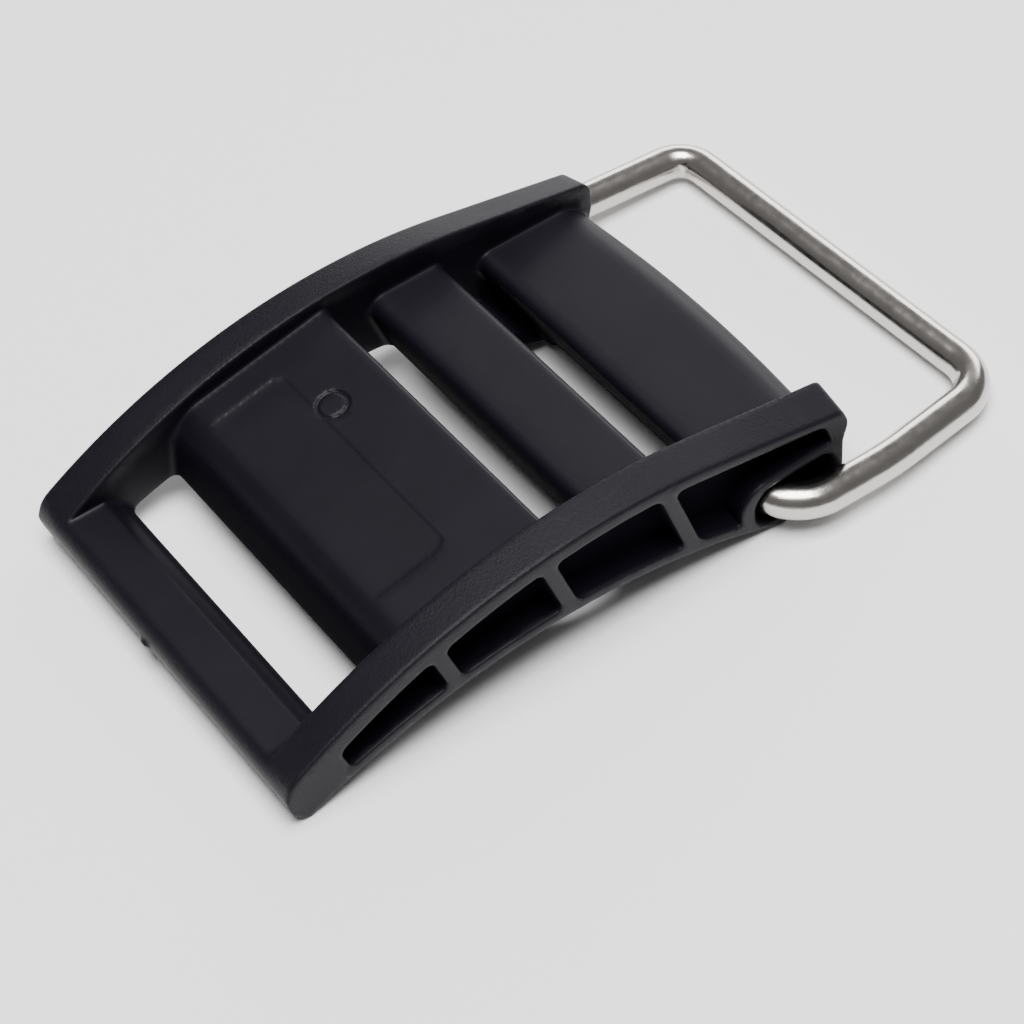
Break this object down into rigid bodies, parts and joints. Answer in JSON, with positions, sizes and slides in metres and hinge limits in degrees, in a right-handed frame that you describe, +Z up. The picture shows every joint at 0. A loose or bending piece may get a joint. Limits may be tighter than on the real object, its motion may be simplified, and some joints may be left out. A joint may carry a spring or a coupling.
{
  "type": "cylinder strap cam buckle",
  "caption": "Curved plastic cam buckle with strap slots and a hinged stainless wire bail, for tightening a webbing strap round a diving cylinder.",
  "frame": {"origin": "on the resting plane, under the middle of the whole length and width", "axes": "+X along the strap from the thin tail to the bail, +Y across the strap, +Z up, away from the cylinder"},
  "size_m": [0.1226, 0.075, 0.0224],
  "materials": {
    "moulded_plastic": "black moulded plastic, spark-grained on the rail tops and smooth semi-matt on the panels",
    "stainless_wire": "bright drawn stainless wire with a fine grain"
  },
  "bodies": {
    "buckle_body": {"rail_left": "moulded_plastic", "rail_right": "moulded_plastic", "tail_bar": "moulded_plastic", "thumb_panel": "moulded_plastic", "middle_bar": "moulded_plastic", "head_panel": "moulded_plastic", "pivot_boss_left": "moulded_plastic", "pivot_boss_right": "moulded_plastic", "slot_web_left": "moulded_plastic", "slot_web_right": "moulded_plastic"},
    "bail": {"wire_bail": "stainless_wire"}
  },
  "joints": [
    {"name": "bail_hinge", "type": "hinge", "parent": "buckle_body", "child": "bail", "pos_m": [0.01931, 0, 0.005], "axis": [0, -1, 0], "range_deg": [-14, 32]}
  ]
}
